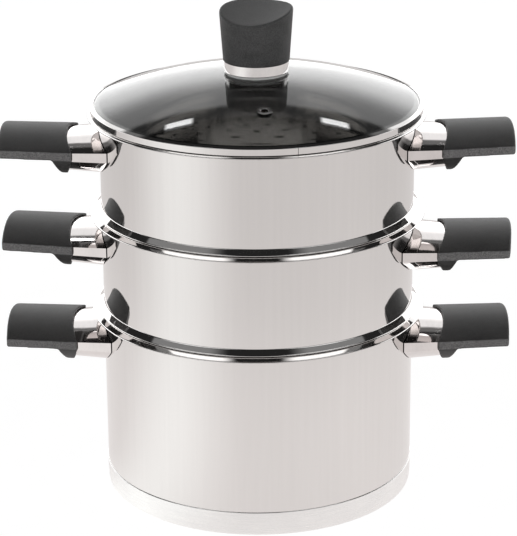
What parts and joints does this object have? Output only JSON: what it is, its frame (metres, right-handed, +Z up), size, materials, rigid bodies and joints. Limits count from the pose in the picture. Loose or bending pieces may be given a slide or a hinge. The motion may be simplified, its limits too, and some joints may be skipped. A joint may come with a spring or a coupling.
{
  "type": "steamer pot",
  "caption": "Stacked stainless steel steamer pot: stock pot with nested perforated steamer inserts, dark side grips and a domed glass lid with a steam vent and tall knob.",
  "frame": {"origin": "centre of the base's flat underside", "axes": "+Z up, +X along the right handles, -Y towards the viewer of the picture"},
  "size_m": [0.3938, 0.259, 0.3823],
  "materials": {
    "polished_steel": "mirror polished stainless steel",
    "satin_steel": "satin stainless steel",
    "chrome_trim": "bright chrome plate",
    "steel_plate": "plain steel",
    "aluminium_core": "cast, hidden",
    "grip_plastic": "fine grained dark moulding",
    "lid_glass": "clear tempered glass",
    "silicone": "soft silicone",
    "brass_insert": "turned"
  },
  "bodies": {
    "pot": {"pot_shell": "polished_steel", "pot_base_cap": "satin_steel", "pot_base_core": "aluminium_core", "pot_bracket_left": "steel_plate", "pot_ferrule_left": "chrome_trim", "pot_grip_left": "grip_plastic", "pot_bracket_right": "steel_plate", "pot_ferrule_right": "chrome_trim", "pot_grip_right": "grip_plastic", "pot_handle_screws": "steel_plate"},
    "middle_steamer": {"middle_wall": "polished_steel", "middle_floor": "satin_steel", "middle_bracket_left": "steel_plate", "middle_ferrule_left": "chrome_trim", "middle_grip_left": "grip_plastic", "middle_bracket_right": "steel_plate", "middle_ferrule_right": "chrome_trim", "middle_grip_right": "grip_plastic", "middle_handle_screws": "steel_plate"},
    "top_steamer": {"top_wall": "polished_steel", "top_floor": "satin_steel", "top_bracket_left": "steel_plate", "top_ferrule_left": "chrome_trim", "top_grip_left": "grip_plastic", "top_bracket_right": "steel_plate", "top_ferrule_right": "chrome_trim", "top_grip_right": "grip_plastic", "top_handle_screws": "steel_plate"},
    "lid": {"lid_glass": "lid_glass", "lid_band": "polished_steel", "vent_eyelet": "chrome_trim", "knob_gasket": "silicone", "knob_collar": "chrome_trim", "knob_grip": "grip_plastic", "knob_insert": "brass_insert", "screw_gasket": "silicone", "lid_washer": "steel_plate", "lid_screw": "steel_plate"}
  },
  "joints": [
    {"name": "middle_lift", "type": "slide", "parent": "pot", "child": "middle_steamer", "axis": [0, 0, 1], "range_m": [0, 0.12]},
    {"name": "top_lift", "type": "slide", "parent": "middle_steamer", "child": "top_steamer", "axis": [0, 0, 1], "range_m": [0, 0.12]},
    {"name": "lid_lift", "type": "slide", "parent": "top_steamer", "child": "lid", "axis": [0, 0, 1], "range_m": [0, 0.12]}
  ]
}
